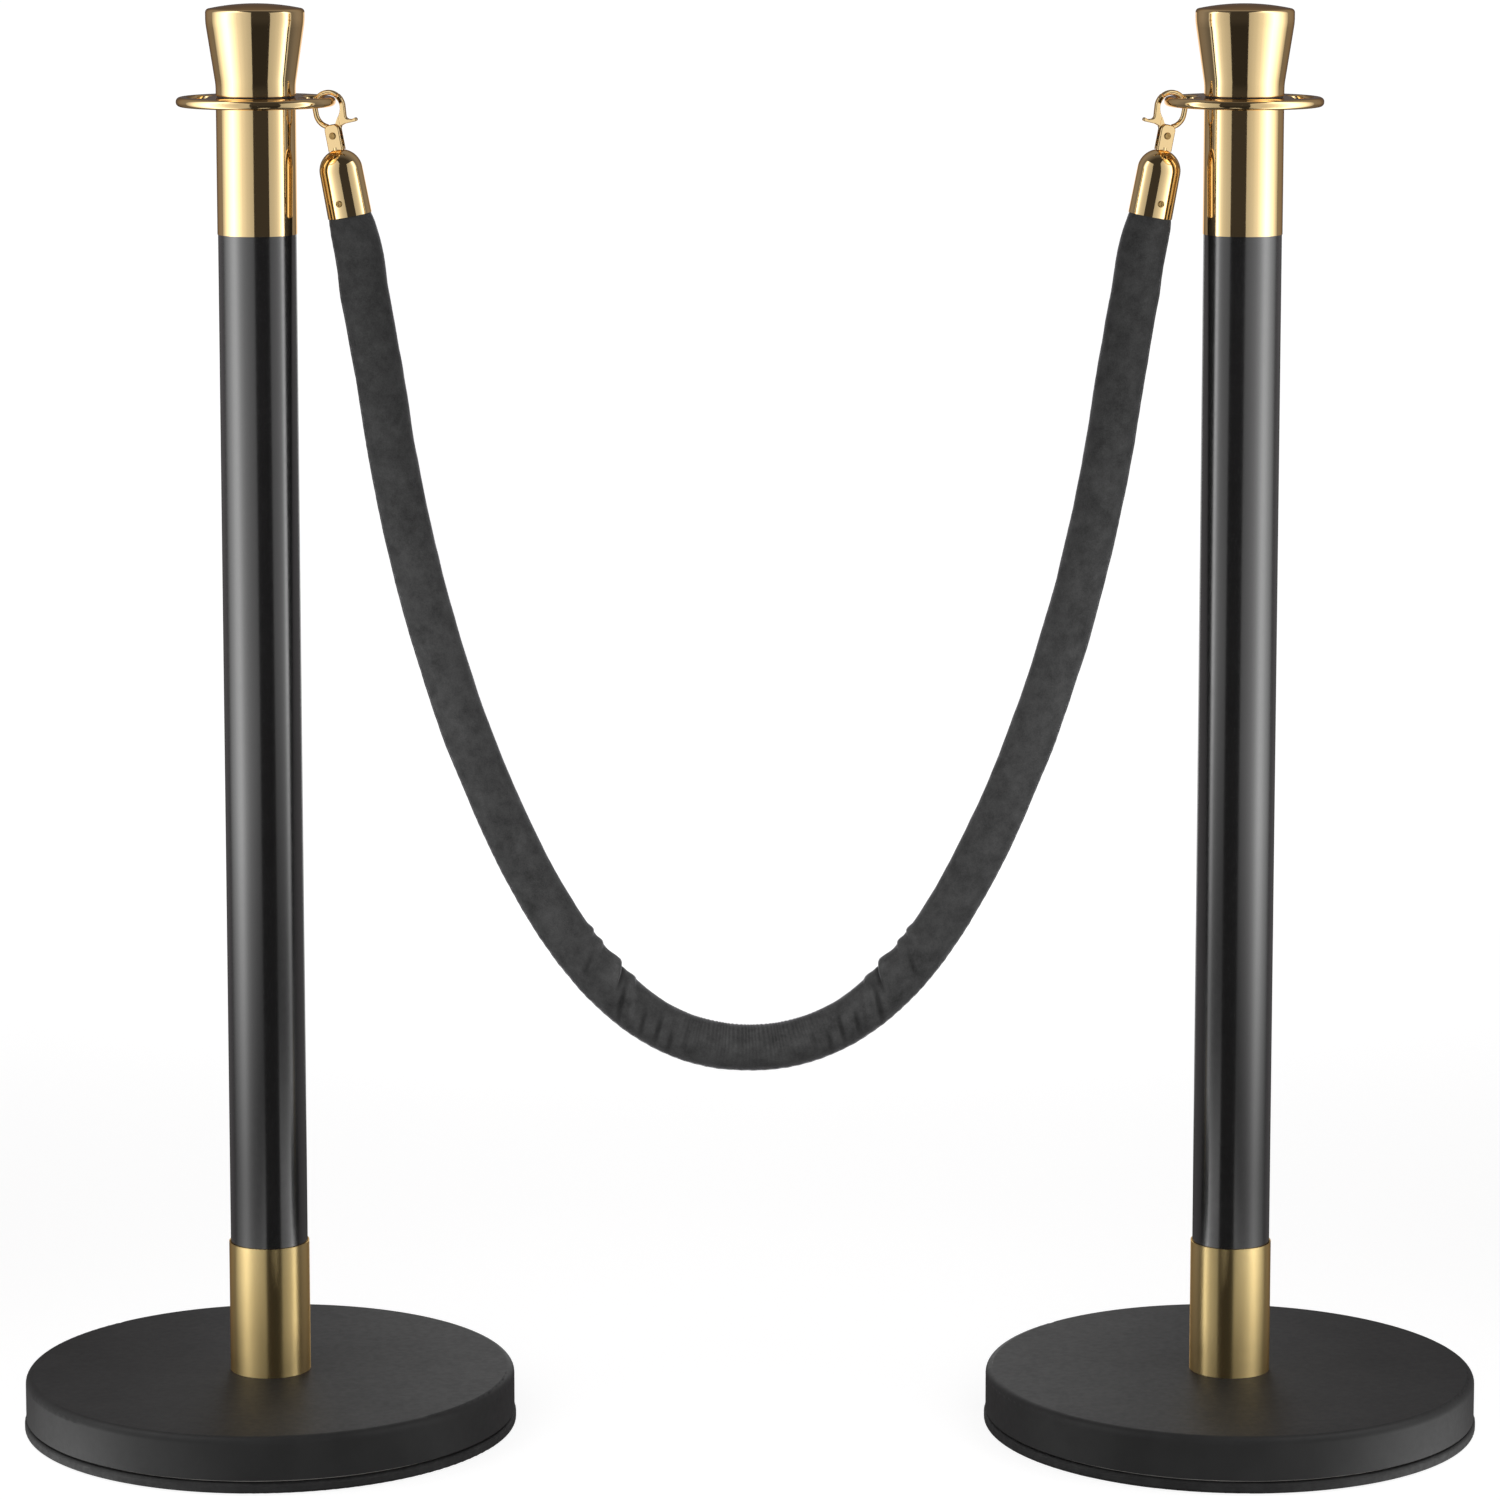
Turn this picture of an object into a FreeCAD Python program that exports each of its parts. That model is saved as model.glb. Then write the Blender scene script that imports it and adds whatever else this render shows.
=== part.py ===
import FreeCAD, Part
import math
import os

from FreeCAD import Vector

# A pair of rope-barrier posts with a velvet rope hooked between them, in millimetres.
# Origin: on the floor, midway between the two posts.
# +X runs from the left post to the right post, +Y to the back, +Z up.
# Each sub-part is made for the left post (or the left end of the rope), and mirrored for the right.

# Driving dimensions
POST_X = 318.0  # from the origin to each post's axis
BASE_RADIUS = 161.5
BASE_TOP = 36.5  # top of the base cover above the floor
TUBE_RADIUS = 25.4
TUBE_WALL = 1.2
RING_RADIUS = 51.4  # round plate with slots that the rope hooks onto
RING_TOP = 878.4
RING_THICK = 6.0
POST_TOP = 938.3  # top of the finial
ROPE_RADIUS = 15.75
SHEET_GAP = 0.3  # between a sliding or turning piece and its neighbour

# Base
FOOT_RING_OUTER = BASE_RADIUS + 1.0
FOOT_RING_INNER = 141.0
FOOT_RING_HEIGHT = 7.0
FOOT_RING_EDGE = 2.0
COVER_LOW = FOOT_RING_HEIGHT + 1.5  # leaves the shadow gap above the foot ring
COVER_WALL = 1.2
COVER_EDGE = 5.0
WEIGHT_RADIUS = BASE_RADIUS - 3.5
WEIGHT_EDGE = 4.0
COUNTERBORE_RADIUS = 18.0
COUNTERBORE_ROOF = 17.0
BOLT_RADIUS = 6.0
BOLT_HEAD_LOW = 7.6
BOLT_HEAD_FLATS = 18.0
BOLT_TIP = 54.0
BOLT_WASHER_THICK = 2.5
BOLT_WASHER_RADIUS = 14.0

# Post
PLUG_LENGTH = 20.0
RING_LOW = RING_TOP - RING_THICK
COLLAR_TOP = 123.5
COLLAR_WALL = 0.75
SLEEVE_LOW = 790.0
SLEEVE_WALL = 0.35
STUD_RADIUS = 5.0
STUD_LOW = 856.0
STUD_TOP = 894.0

# Rope ring plate
SLOT_COUNT = 4
SLOT_MIDDLE = 38.0  # radius of the slots' centre line
SLOT_HALF_WIDTH = 5.4
SLOT_HALF_ANGLE = 22.0  # degrees, to the centre of each rounded end
RING_EDGE = 2.8  # rounding of the rim
SLOT_EDGE = 2.4  # rounding of the slots' rims

# Finial
FINIAL_WASHER_THICK = 1.0
FINIAL_LOW = RING_TOP + FINIAL_WASHER_THICK
FINIAL_WASHER_RADIUS = 24.95
FINIAL_FOOT_RADIUS = 25.75
FINIAL_HEAD_RADIUS = 31.9
FINIAL_FOOT_TOP = FINIAL_LOW + 3.8
FINIAL_HEAD_LOW = POST_TOP - 9.0  # foot of the upright rim
FINIAL_WALL = 1.6
FINIAL_DOME = 144.0  # radius of the domed top
FINIAL_EDGE = 2.6  # rounding between the dome and the rim
FINIAL_BLEND_RISE = 5.5  # height over which the flare turns upright, at its head and at its foot
FINIAL_BLEND_SET = 0.4  # how far the flare has come in or out over that height
INSERT_LIFT = 0.6  # of the insert's foot above the finial's
INSERT_BOSS_RADIUS = 11.0
INSERT_BOSS_TOP = FINIAL_FOOT_TOP + 13.0
STUD_FIT = 0.05  # radial clearance of the turning thread

# Rope route, as x and z of the centre line from the left cap's mouth to the middle.
# The first run is also the direction in which the cap and the hook hang.
HALF_ROUTE = [
    (-258.2, 801.9),
    (-241.9, 713.4),
    (-229.0, 622.0),
    (-207.0, 529.0),
    (-174.5, 431.5),
    (-127.8, 335.3),
    (-79.2, 278.3),
    (-29.0, 253.5),
]
CORE_RADIUS = 12.5
PILE_GAP = 0.25  # between the core and the velvet round it

# End cap, measured along its own axis from the gate's rivet
CAP_MOUTH = -52.5
CAP_TIP = -9.1
CAP_MOUTH_RADIUS = 14.3
CAP_DOME_RADIUS = 14.0
CAP_DOME_CENTRE = (0, CAP_TIP - CAP_DOME_RADIUS)
CAP_BORE = 13.0
CAP_DOME_WALL = 1.2
PLUG_TOP = -24.5
SCREW_LEVEL = CAP_MOUTH + 9.3
SCREW_RADIUS = 1.2
SCREW_DEPTH = 8.0
SCREW_HEAD_RADIUS = 2.2
SCREW_HEAD_HEIGHT = 0.9
SCREW_HEAD_EDGE = 0.55
RECESS_LENGTH = 2.9
RECESS_WIDTH = 0.5
RECESS_DEPTH = 0.5

# Hook, in its own plane: across from its axis, and up from the gate's rivet
HOOK_TURN = 18.0  # degrees that the hook and the screws are turned about the cap's axis
LOOP_TOP = 18.5  # centre of the loop's upper round
LOOP_LOW = 15.2  # centre of the loop's lower round
LOOP_INNER = 8.0
LOOP_BAND = 3.2
LOOP_DEPTH = 3.6
LOOP_EDGE = 1.4
LOOP_ROOT = 250.0  # degrees round the lower centre where the band meets the shank
SPLIT_ANGLE = 42.0  # where the gate meets the loop's tip
SPLIT_GAP = 1.2  # degrees
SHANK_HALF_WIDTH = 5.0
SHANK_DEPTH = 6.4
SHANK_FOOT = -10.3  # at its corners; the middle is hollowed to follow the cap's dome
SHANK_DOME_GAP = 0.35
SHANK_SHOULDER = 3.5
SHANK_EDGE = 0.8
GATE_SLOT = 2.8
GATE_BLADE = 2.2
GATE_ROOT = 3.1
GATE_SIDE = SHANK_HALF_WIDTH + 0.6  # the gate's inner side beside the shank
GATE_FOOT = 5.0
GATE_EDGE = 0.7
FORK_LEFT = -GATE_ROOT - 0.4
FORK_FLOOR = -7.5
FORK_MOUTH_LEFT = -1.2
FORK_MOUTH_LOW = 3.0
FORK_MOUTH_TOP = 9.0
RIVET_RADIUS = 1.5
RIVET_FIT = 0.05
RIVET_HEAD_RADIUS = 2.3
RIVET_HEAD_HEIGHT = 0.8
RIVET_HEAD_EDGE = 0.6
NECK_RADIUS = 3.4
NECK_FIT = 0.1
STEM_RADIUS = 2.4
RETAINER_RADIUS = 5.0
RETAINER_TOP = -11.7
RETAINER_THICK = 2.2
STEM_LOW = RETAINER_TOP - RETAINER_THICK - 0.6
SPRING_X = 1.9
SPRING_LOW = FORK_FLOOR + 0.2
SPRING_TOP = -3.25
SPRING_RADIUS = 0.95
SPRING_WIRE = 0.22
SPRING_TURNS = 5

UP = Vector(0, 0, 1)
BACK = Vector(0, 1, 0)


def outline(start, *steps):
    """A closed wire in the XZ plane. A step is a point, or (point passed, end point) for an arc."""
    edges = []
    here = start
    for step in steps + (start,):
        is_arc = isinstance(step[0], tuple)
        end = step[1] if is_arc else step
        if is_arc:
            points = [Vector(x, 0, z) for x, z in (here, step[0], end)]
            edges.append(Part.Arc(*points).toShape())
        elif end != here:
            points = [Vector(x, 0, z) for x, z in (here, end)]
            edges.append(Part.LineSegment(*points).toShape())
        here = end
    return Part.Wire(edges)


def turned(start, *steps):
    """The outline turned about the Z axis."""
    return Part.Face(outline(start, *steps)).revolve(Vector(), UP, 360)


def flat_piece(depth, start, *steps):
    """The outline given a depth, half of it on each side of the XZ plane."""
    face = Part.Face(outline(start, *steps))
    face.translate(BACK * (-depth / 2))
    return face.extrude(BACK * depth)


def rod(radius, low, high):
    return Part.makeCylinder(radius, high - low, Vector(0, 0, low))


def pipe_piece(outer, inner, low, high):
    return rod(outer, low, high).cut(rod(inner, low, high))


def on_circle(centre, radius, angle):
    """A point at the angle in degrees, counted from +X towards +Z."""
    turn = math.radians(angle)
    return (centre[0] + radius * math.cos(turn), centre[1] + radius * math.sin(turn))


def rounded(shape, radius, picks):
    """The shape with a fillet on every edge that the test picks."""
    return shape.makeFillet(radius, [edge for edge in shape.Edges if picks(edge)])


def middle_of(edge):
    return edge.valueAt((edge.FirstParameter + edge.LastParameter) / 2)


# ---------------------------------------------------------------- base


def base_cover():
    """Pressed steel cover: a flat top, a rounded edge and a short wall."""
    inner = BASE_RADIUS - COVER_WALL
    centre = (BASE_RADIUS - COVER_EDGE, BASE_TOP - COVER_EDGE)
    return turned(
        (BOLT_RADIUS, BASE_TOP),
        (centre[0], BASE_TOP),
        (on_circle(centre, COVER_EDGE, 45), (BASE_RADIUS, centre[1])),
        (BASE_RADIUS, COVER_LOW),
        (inner, COVER_LOW),
        (inner, centre[1]),
        (on_circle(centre, COVER_EDGE - COVER_WALL, 45), (centre[0], BASE_TOP - COVER_WALL)),
        (BOLT_RADIUS, BASE_TOP - COVER_WALL),
    )


def base_weight():
    """Cement disc under the cover, with a counterbore for the bolt from below."""
    top = BASE_TOP - COVER_WALL
    return turned(
        (BOLT_RADIUS, top),
        (WEIGHT_RADIUS - WEIGHT_EDGE, top),
        (WEIGHT_RADIUS, top - WEIGHT_EDGE),
        (WEIGHT_RADIUS, FOOT_RING_HEIGHT),
        (COUNTERBORE_RADIUS, FOOT_RING_HEIGHT),
        (COUNTERBORE_RADIUS, COUNTERBORE_ROOF),
        (BOLT_RADIUS, COUNTERBORE_ROOF),
    )


def foot_ring():
    """Rubber ring that the base stands on, a little wider than the cover."""
    blank = pipe_piece(FOOT_RING_OUTER, FOOT_RING_INNER, 0, FOOT_RING_HEIGHT)

    def outer_edge(edge):
        return edge.Closed and edge.BoundBox.XMax > FOOT_RING_OUTER - 1

    return rounded(blank, FOOT_RING_EDGE, outer_edge)


def base_bolt():
    """Hexagon bolt from under the base into the tube's foot plug."""
    corner = BOLT_HEAD_FLATS / 2 / math.cos(math.radians(30))
    points = [Vector(corner, 0, BOLT_HEAD_LOW)]
    for side in range(6):
        turn = math.radians(60 * (side + 1))
        points.append(Vector(corner * math.cos(turn), corner * math.sin(turn), BOLT_HEAD_LOW))
    head_top = COUNTERBORE_ROOF - BOLT_WASHER_THICK
    head = Part.Face(Part.makePolygon(points)).extrude(UP * (head_top - BOLT_HEAD_LOW))
    return head.fuse(rod(BOLT_RADIUS, head_top, BOLT_TIP)).removeSplitter()


def bolt_washer():
    low = COUNTERBORE_ROOF - BOLT_WASHER_THICK
    return pipe_piece(BOLT_WASHER_RADIUS, BOLT_RADIUS, low, COUNTERBORE_ROOF)


# ---------------------------------------------------------------- post


def foot_plug():
    """Steel plug welded in the foot of the tube, tapped for the base bolt."""
    return pipe_piece(TUBE_RADIUS - TUBE_WALL, BOLT_RADIUS, BASE_TOP, BASE_TOP + PLUG_LENGTH)


def post_tube():
    return pipe_piece(TUBE_RADIUS, TUBE_RADIUS - TUBE_WALL, BASE_TOP, RING_LOW)


def lower_collar():
    """Loose sleeve that hides the joint between tube and base."""
    inner = TUBE_RADIUS + SHEET_GAP
    return pipe_piece(inner + COLLAR_WALL, inner, BASE_TOP, COLLAR_TOP)


def upper_sleeve():
    return pipe_piece(TUBE_RADIUS + SLEEVE_WALL, TUBE_RADIUS, SLEEVE_LOW, RING_LOW)


def top_plug():
    """Steel plug in the head of the tube, tapped for the stud."""
    return pipe_piece(TUBE_RADIUS - TUBE_WALL, STUD_RADIUS, RING_LOW - PLUG_LENGTH, RING_LOW)


def top_stud():
    return rod(STUD_RADIUS, STUD_LOW, STUD_TOP)


def ring_slot():
    """Kidney-shaped cutter on the +X side of the ring plate."""
    half = SLOT_HALF_ANGLE
    outer = SLOT_MIDDLE + SLOT_HALF_WIDTH
    inner = SLOT_MIDDLE - SLOT_HALF_WIDTH
    ends = [on_circle((0, 0), SLOT_MIDDLE, side * half) for side in (1, -1)]
    wire = outline(
        on_circle((0, 0), outer, -half),
        ((outer, 0), on_circle((0, 0), outer, half)),
        (on_circle(ends[0], SLOT_HALF_WIDTH, half + 90), on_circle((0, 0), inner, half)),
        ((inner, 0), on_circle((0, 0), inner, -half)),
        (on_circle(ends[1], SLOT_HALF_WIDTH, -half - 90), on_circle((0, 0), outer, -half)),
    )
    cutter = Part.Face(wire).extrude(BACK * (2 * RING_THICK))
    cutter.rotate(Vector(), Vector(1, 0, 0), 90)
    cutter.translate(UP * (RING_TOP - 1.5 * RING_THICK))
    return cutter


def rope_ring():
    """Round plate with a rounded rim and four slots for rope hooks."""
    plate = pipe_piece(RING_RADIUS, STUD_RADIUS + SHEET_GAP, RING_LOW, RING_TOP)
    for turn in range(SLOT_COUNT):
        cutter = ring_slot()
        cutter.rotate(Vector(), UP, 360 / SLOT_COUNT * turn)
        plate = plate.cut(cutter)

    def on_face(edge):
        return abs(middle_of(edge).z - edge.Vertexes[0].Z) < 0.001

    def reach_of(edge):
        return math.hypot(middle_of(edge).x, middle_of(edge).y)

    def rim_edge(edge):
        return on_face(edge) and reach_of(edge) > RING_RADIUS - 0.1

    def slot_edge(edge):
        return on_face(edge) and abs(reach_of(edge) - SLOT_MIDDLE) < SLOT_HALF_WIDTH + 0.1

    return rounded(rounded(plate, RING_EDGE, rim_edge), SLOT_EDGE, slot_edge)


# ---------------------------------------------------------------- finial


def finial_washer():
    """Thin nylon washer that turns with the finial on top of the ring plate."""
    return pipe_piece(FINIAL_WASHER_RADIUS, STUD_RADIUS + SHEET_GAP, RING_TOP, FINIAL_LOW)


def finial():
    """Flared head with an upright rim and a domed top, drawn as a shell with an open foot."""
    head = FINIAL_HEAD_RADIUS
    foot = FINIAL_FOOT_RADIUS
    wall = FINIAL_WALL
    quarter = FINIAL_BLEND_SET / 4
    half_rise = FINIAL_BLEND_RISE / 2
    waist = (foot + FINIAL_BLEND_SET, FINIAL_FOOT_TOP + FINIAL_BLEND_RISE)
    shoulder = (head - FINIAL_BLEND_SET, FINIAL_HEAD_LOW - FINIAL_BLEND_RISE)
    dome = (0, POST_TOP - FINIAL_DOME)
    edge_x = head - FINIAL_EDGE
    edge_rise = math.sqrt((FINIAL_DOME - FINIAL_EDGE) ** 2 - edge_x**2)
    edge = (edge_x, dome[1] + edge_rise)
    brow = math.degrees(math.atan2(edge_rise, edge_x))
    middle = (90 + brow) / 2
    return turned(
        (foot, FINIAL_LOW),
        (foot, FINIAL_FOOT_TOP),
        ((foot + quarter, FINIAL_FOOT_TOP + half_rise), waist),
        shoulder,
        ((head - quarter, FINIAL_HEAD_LOW - half_rise), (head, FINIAL_HEAD_LOW)),
        (head, edge[1]),
        (on_circle(edge, FINIAL_EDGE, brow / 2), on_circle(edge, FINIAL_EDGE, brow)),
        (on_circle(dome, FINIAL_DOME, middle), (0, POST_TOP)),
        (0, POST_TOP - wall),
        (on_circle(dome, FINIAL_DOME - wall, middle), on_circle(edge, FINIAL_EDGE - wall, brow)),
        (head - wall, edge[1]),
        (head - wall, FINIAL_HEAD_LOW),
        (shoulder[0] - wall, shoulder[1]),
        (waist[0] - wall, waist[1]),
        (foot - wall, FINIAL_FOOT_TOP),
        (foot - wall, FINIAL_LOW),
    )


def finial_insert():
    """Tapped plug in the finial's foot, with a boss up the stud."""
    bore = STUD_RADIUS + STUD_FIT
    outer = FINIAL_FOOT_RADIUS - FINIAL_WALL
    low = FINIAL_LOW + INSERT_LIFT
    return turned(
        (bore, low),
        (outer, low),
        (outer, FINIAL_FOOT_TOP),
        (INSERT_BOSS_RADIUS, FINIAL_FOOT_TOP),
        (INSERT_BOSS_RADIUS, INSERT_BOSS_TOP),
        (bore, INSERT_BOSS_TOP),
    )


# ---------------------------------------------------------------- end cap of the rope


def end_cap():
    """Drawn metal cap: a dome with a hole for the hook's neck, and a slightly flared wall."""
    centre = CAP_DOME_CENTRE
    inner_dome = CAP_DOME_RADIUS - CAP_DOME_WALL
    hole = NECK_RADIUS + NECK_FIT
    outer_start = (hole, centre[1] + math.sqrt(CAP_DOME_RADIUS**2 - hole**2))
    inner_end = (hole, centre[1] + math.sqrt(inner_dome**2 - hole**2))
    cap = turned(
        outer_start,
        (on_circle(centre, CAP_DOME_RADIUS, 40), (CAP_DOME_RADIUS, centre[1])),
        (CAP_MOUTH_RADIUS, CAP_MOUTH),
        (CAP_BORE, CAP_MOUTH),
        (CAP_BORE, centre[1] - 1),
        (inner_dome, centre[1]),
        (on_circle(centre, inner_dome, 40), inner_end),
    )
    return cap.cut(screw_shanks())


def end_plug():
    """Wooden plug that the rope's end is fixed to, held in the cap by the screws."""
    return rod(CAP_BORE, CAP_MOUTH, PLUG_TOP).cut(screw_shanks())


def screw_seat():
    """The cap's outside radius at the lower edge of the screw heads."""
    straight = CAP_DOME_CENTRE[1] - CAP_MOUTH
    flare = (CAP_MOUTH_RADIUS - CAP_DOME_RADIUS) / straight
    return CAP_MOUTH_RADIUS - flare * (SCREW_LEVEL - SCREW_HEAD_RADIUS - CAP_MOUTH)


def both_sides(shape):
    """The shape and its copy half a turn round the cap's axis, both turned as the hook is."""
    other = shape.copy()
    other.rotate(Vector(), UP, 180)
    pair = Part.makeCompound([shape, other])
    pair.rotate(Vector(), UP, -HOOK_TURN)
    return pair


def screw_shanks():
    start = Vector(0, -screw_seat(), SCREW_LEVEL)
    return both_sides(Part.makeCylinder(SCREW_RADIUS, SCREW_DEPTH, start, BACK))


def cap_screws():
    """Two cross-recessed screws, front and back."""
    start = Vector(0, -screw_seat(), SCREW_LEVEL)
    outside = start.y - SCREW_HEAD_HEIGHT
    shank = Part.makeCylinder(SCREW_RADIUS, SCREW_DEPTH, start, BACK)
    head = Part.makeCylinder(SCREW_HEAD_RADIUS, SCREW_HEAD_HEIGHT, start, -BACK)
    head = rounded(head, SCREW_HEAD_EDGE, lambda edge: edge.Closed and middle_of(edge).y < outside + 0.1)
    for wide, tall in ((RECESS_LENGTH, RECESS_WIDTH), (RECESS_WIDTH, RECESS_LENGTH)):
        corner = Vector(-wide / 2, outside - RECESS_DEPTH, SCREW_LEVEL - tall / 2)
        head = head.cut(Part.makeBox(wide, 2 * RECESS_DEPTH, tall, corner))
    return both_sides(shank.fuse(head))


# ---------------------------------------------------------------- hook


def rounded_faces(piece, depth, radius):
    """A flat piece with its front outline rounded, and then its back outline."""
    for face in (-depth / 2, depth / 2):
        piece = rounded(piece, radius, lambda edge: abs(middle_of(edge).y - face) < 0.001)
    return piece


def rounded_section(width, depth, radius):
    """Rectangle with rounded corners round the origin, as a wire in the XY plane."""
    block = Part.makeBox(width, depth, 1, Vector(-width / 2, -depth / 2, 0))
    block = rounded(block, radius, lambda edge: abs(edge.tangentAt(edge.FirstParameter).z) > 0.9)
    base = min(block.Faces, key=lambda face: face.CenterOfMass.z)
    return base.OuterWire


def points_on_circle(centre, radius, angles):
    """Points of a circle in the XZ plane, one for each angle."""
    flat = [on_circle(centre, radius, angle) for angle in angles]
    return [Vector(x, 0, z) for x, z in flat]


def hook_loop():
    """Bent band of the hook, from the shank up its outer side and over to the split."""
    radius = LOOP_INNER + LOOP_BAND / 2
    top = (0, LOOP_TOP)
    low = (0, LOOP_LOW)
    lower = points_on_circle(low, radius, (180, 215, LOOP_ROOT))
    upper = points_on_circle(top, radius, (180, 100, SPLIT_ANGLE))
    path = Part.Wire([
        Part.Arc(*reversed(lower)).toShape(),
        Part.LineSegment(lower[0], upper[0]).toShape(),
        Part.Arc(*upper).toShape(),
    ])
    section = rounded_section(LOOP_BAND, LOOP_DEPTH, LOOP_EDGE)
    section.rotate(Vector(), BACK, 180 - LOOP_ROOT)
    section.translate(lower[2])
    return path.makePipeShell([section], True, False)


def across(radius, depth, middle=0.0):
    """Round bar through the rivet's place, from front to back."""
    return Part.makeCylinder(radius, depth, Vector(0, middle - depth / 2, 0), BACK)


def hook_shank():
    """Block with round shoulders, hollowed below to sit close over the cap's dome."""
    wide = SHANK_HALF_WIDTH
    top = LOOP_LOW - LOOP_INNER
    shoulder = (wide - SHANK_SHOULDER, top - SHANK_SHOULDER)
    block = flat_piece(
        SHANK_DEPTH,
        (-wide, SHANK_FOOT),
        (wide, SHANK_FOOT),
        (wide, shoulder[1]),
        (on_circle(shoulder, SHANK_SHOULDER, 45), (shoulder[0], top)),
        (-shoulder[0], top),
        (on_circle((-shoulder[0], shoulder[1]), SHANK_SHOULDER, 135), (-wide, shoulder[1])),
    )
    block = rounded_faces(block, SHANK_DEPTH, SHANK_EDGE)
    dome = Part.makeSphere(CAP_DOME_RADIUS + SHANK_DOME_GAP, Vector(0, 0, CAP_DOME_CENTRE[1]))
    return block.cut(dome)


def fork_space(left, low, high):
    """Slot in the shank's middle, open towards the gate's side."""
    return Part.makeBox(4 * SHANK_HALF_WIDTH, GATE_SLOT, high - low, Vector(left, -GATE_SLOT / 2, low))


def hook_frame():
    """Forked shank with the loop on top and the swivel's neck below."""
    neck = rod(NECK_RADIUS, RETAINER_TOP, FORK_FLOOR)
    stem = rod(STEM_RADIUS, STEM_LOW, RETAINER_TOP)
    fork = fork_space(FORK_LEFT, FORK_FLOOR, FORK_MOUTH_LOW + 0.5)
    mouth = fork_space(FORK_MOUTH_LEFT, FORK_MOUTH_LOW, FORK_MOUTH_TOP)
    pin = across(RIVET_RADIUS, SHANK_DEPTH)
    return hook_shank().fuse([hook_loop(), neck, stem]).cut([fork, mouth, pin]).removeSplitter()


def gate_arm():
    """Side of the loop from the split down, and its thumb lever with a dished pad."""
    outer = LOOP_INNER + LOOP_BAND
    top = (0, LOOP_TOP)
    start_angle = SPLIT_ANGLE - SPLIT_GAP
    side = GATE_SIDE
    foot = GATE_FOOT
    arm = flat_piece(
        LOOP_DEPTH,
        on_circle(top, LOOP_INNER, start_angle),
        (on_circle(top, LOOP_INNER, start_angle / 2), (LOOP_INNER, LOOP_TOP)),
        ((LOOP_INNER - 0.7, foot + 10.0), (side - 0.4, foot + 6.4)),
        (side, foot + 4.6),
        (side, foot),
        (side + 4.0, foot + 1.4),
        (side + 10.6, foot + 1.7),
        ((side + 12.1, foot + 2.9), (side + 11.1, foot + 4.2)),
        ((side + 8.3, foot + 3.6), (side + 6.4, foot + 4.0)),
        ((side + 5.4, foot + 4.8), (side + 5.0, foot + 6.6)),
        (outer, LOOP_TOP),
        (on_circle(top, outer, start_angle / 2), on_circle(top, outer, start_angle)),
    )
    return rounded_faces(arm, LOOP_DEPTH, GATE_EDGE)


def hook_gate():
    """Sprung side of the loop, on a blade inside the fork."""
    left, right = GATE_SIDE - 0.8, GATE_SIDE + 1
    blade = flat_piece(
        GATE_BLADE,
        (0, GATE_ROOT),
        (left, GATE_FOOT + 6.2),
        (right, GATE_FOOT + 6.2),
        (right, GATE_FOOT + 0.6),
        (GATE_ROOT, 0),
        (0, 0),
    )
    root = across(GATE_ROOT, GATE_BLADE)
    bore = across(RIVET_RADIUS + RIVET_FIT, SHANK_DEPTH)
    return gate_arm().fuse([blade, root]).cut(bore).removeSplitter()


def gate_rivet():
    """Pin through the fork, with a low domed head on each side."""
    half = SHANK_DEPTH / 2
    rivet = across(RIVET_RADIUS, SHANK_DEPTH)
    for side in (-1, 1):
        head = Part.makeCylinder(RIVET_HEAD_RADIUS, RIVET_HEAD_HEIGHT, Vector(0, side * half, 0), BACK * side)
        rim = side * (half + RIVET_HEAD_HEIGHT)
        head = rounded(head, RIVET_HEAD_EDGE, lambda edge: edge.Closed and abs(middle_of(edge).y - rim) < 0.001)
        rivet = rivet.fuse(head)
    return rivet


def gate_spring():
    """Small coil spring between the fork's floor and the gate's root."""
    height = SPRING_TOP - SPRING_LOW - 2 * SPRING_WIRE
    helix = Part.makeHelix(height / SPRING_TURNS, height, SPRING_RADIUS)
    section = Part.Wire(Part.makeCircle(SPRING_WIRE, Vector(SPRING_RADIUS, 0, 0), BACK))
    spring = Part.Wire(helix).makePipeShell([section], True, True)
    spring.translate(Vector(SPRING_X, 0, SPRING_LOW + SPRING_WIRE))
    return spring


def swivel_retainer():
    """Ring riveted on the end of the hook's neck inside the cap."""
    return pipe_piece(RETAINER_RADIUS, STEM_RADIUS, RETAINER_TOP - RETAINER_THICK, RETAINER_TOP)


# ---------------------------------------------------------------- rope


def full_route():
    left = [Vector(x, 0, z) for x, z in HALF_ROUTE]
    right = [Vector(-x, 0, z) for x, z in reversed(HALF_ROUTE)]
    return left + right


def rope_path():
    """Straight runs joined by tangent arcs, and a print of every radius."""
    points = full_route()
    edges = []
    here = points[0]
    for before, corner, after in zip(points, points[1:], points[2:]):
        back = before - corner
        ahead = after - corner
        reach = 0.45 * min(back.Length, ahead.Length)
        half_turn = (math.pi - back.getAngle(ahead)) / 2
        radius = reach / math.tan(half_turn)
        diameters = radius / ROPE_RADIUS / 2
        print(f"rope bend: radius {radius:.0f}, {diameters:.1f} diameters, run {ahead.Length:.0f}")
        start = corner + back.normalize() * reach
        end = corner + ahead.normalize() * reach
        inward = (back + ahead).normalize()
        through = corner + inward * (radius / math.cos(half_turn) - radius)
        edges.append(Part.LineSegment(here, start).toShape())
        edges.append(Part.Arc(start, through, end).toShape())
        here = end
    edges.append(Part.LineSegment(here, points[-1]).toShape())
    return Part.Wire(edges)


def rope_solid(path, radius):
    along = full_route()[1] - full_route()[0]
    section = Part.Wire(Part.makeCircle(radius, full_route()[0], along))
    solid = path.makePipeShell([section], True, False)
    expected = math.pi * radius**2 * path.Length
    ratio = solid.Volume / expected
    print(f"rope solid radius {radius}: length {path.Length:.1f}, volume / expected {ratio:.4f}")
    return solid


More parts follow.
